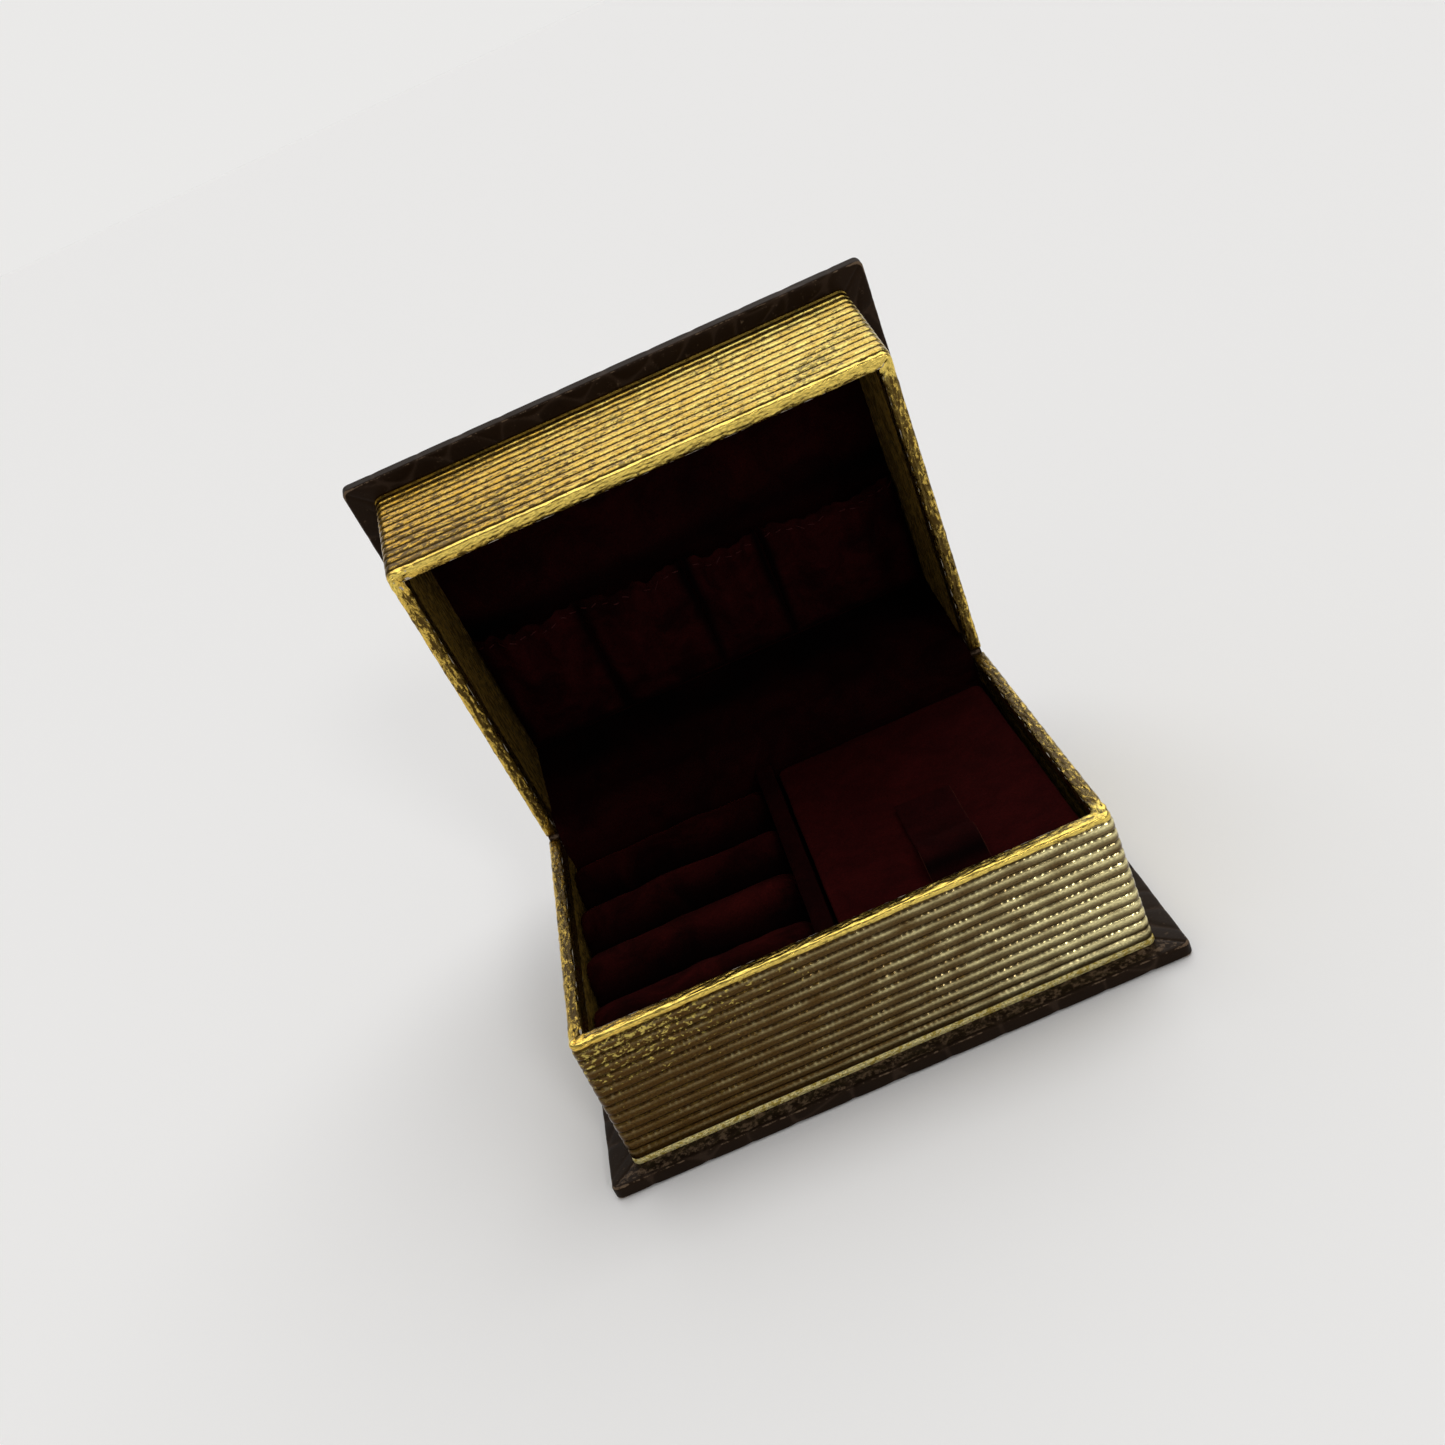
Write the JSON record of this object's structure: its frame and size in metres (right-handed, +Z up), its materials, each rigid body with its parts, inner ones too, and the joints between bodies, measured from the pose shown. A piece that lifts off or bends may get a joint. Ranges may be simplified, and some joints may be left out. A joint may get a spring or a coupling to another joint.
{
  "type": "jewelry box",
  "caption": "Book-shaped jewelry box with dark leatherette covers and ribbed gold page edges; opens to velvet ring rolls, a flap-covered compartment and lid pockets.",
  "frame": {"origin": "middle of the lower cover's underside, on the table", "axes": "+X along the hinge, +Y towards the spine, +Z up; the lid stands open at the pictured angle"},
  "size_m": [0.1204, 0.1187, 0.1259],
  "materials": {
    "greyboard": "matte",
    "leatherette": "satin",
    "gold_paper": "satin",
    "gold_foil": "gloss",
    "velvet": "matte",
    "roll_velvet": "matte",
    "flap_velvet_pile": "matte",
    "roll_bed_card": "matte",
    "velvet_ribbon": "matte"
  },
  "bodies": {
    "base": {"base_cover_board": "greyboard", "base_cover_wrap": "leatherette", "base_spine_panel": "leatherette", "base_floor_board": "greyboard", "base_front_wall": "greyboard", "base_back_wall": "greyboard", "base_left_wall": "greyboard", "base_right_wall": "greyboard", "base_page_edges": "gold_paper", "base_rim_foil": "gold_foil", "base_wall_lining": "gold_foil", "velvet_hinge_strip": "velvet", "compartment_divider": "velvet", "ring_roll_bed": "roll_bed_card", "ring_roll_1": "roll_velvet", "ring_roll_2": "roll_velvet", "ring_roll_3": "roll_velvet", "ring_roll_4": "roll_velvet", "compartment_floor_pad": "velvet", "flap_rest_front": "velvet", "flap_hinge_rail": "velvet", "flap_hinge_tape": "velvet"},
    "lid": {"lid_cover_board": "greyboard", "lid_cover_wrap": "leatherette", "lid_spine_panel": "leatherette", "lid_floor_board": "greyboard", "lid_front_wall": "greyboard", "lid_back_wall": "greyboard", "lid_left_wall": "greyboard", "lid_right_wall": "greyboard", "lid_page_edges": "gold_paper", "lid_rim_foil": "gold_foil", "lid_wall_lining": "gold_foil", "lid_floor_lining": "velvet"},
    "flap": {"flap_board": "greyboard", "flap_velvet": "flap_velvet_pile"},
    "ribbon": {"pull_tab": "velvet_ribbon"},
    "pocket_1": {"pocket_front_1": "velvet"},
    "pocket_2": {"pocket_front_2": "velvet"},
    "pocket_3": {"pocket_front_3": "velvet"},
    "pocket_4": {"pocket_front_4": "velvet"}
  },
  "joints": [
    {"name": "lid_hinge", "type": "hinge", "parent": "base", "child": "lid", "pos_m": [0, 0.04308, 0.0341], "axis": [-1, 0, 0], "range_deg": [-75, 105], "deforming": ["velvet_hinge_strip"]},
    {"name": "flap_hinge", "type": "hinge", "parent": "base", "child": "flap", "pos_m": [0, 0.03458, 0.02975], "axis": [-1, 0, 0], "range_deg": [0, 90]},
    {"name": "pull_tab_hinge", "type": "hinge", "parent": "flap", "child": "ribbon", "pos_m": [0, -0.03352, 0.03155], "axis": [1, 0, 0], "range_deg": [0, 90]},
    {"name": "pocket_1_mouth", "type": "hinge", "parent": "lid", "child": "pocket_1", "pos_m": [0, 0.06807, 0.04592], "axis": [1, 0, 0], "range_deg": [0, 12], "stiffness_Nm_per_rad": 0.004},
    {"name": "pocket_2_mouth", "type": "hinge", "parent": "lid", "child": "pocket_2", "pos_m": [0, 0.06807, 0.04592], "axis": [1, 0, 0], "range_deg": [0, 12], "stiffness_Nm_per_rad": 0.004},
    {"name": "pocket_3_mouth", "type": "hinge", "parent": "lid", "child": "pocket_3", "pos_m": [0, 0.06807, 0.04592], "axis": [1, 0, 0], "range_deg": [0, 12], "stiffness_Nm_per_rad": 0.004},
    {"name": "pocket_4_mouth", "type": "hinge", "parent": "lid", "child": "pocket_4", "pos_m": [0, 0.06807, 0.04592], "axis": [1, 0, 0], "range_deg": [0, 12], "stiffness_Nm_per_rad": 0.004}
  ]
}
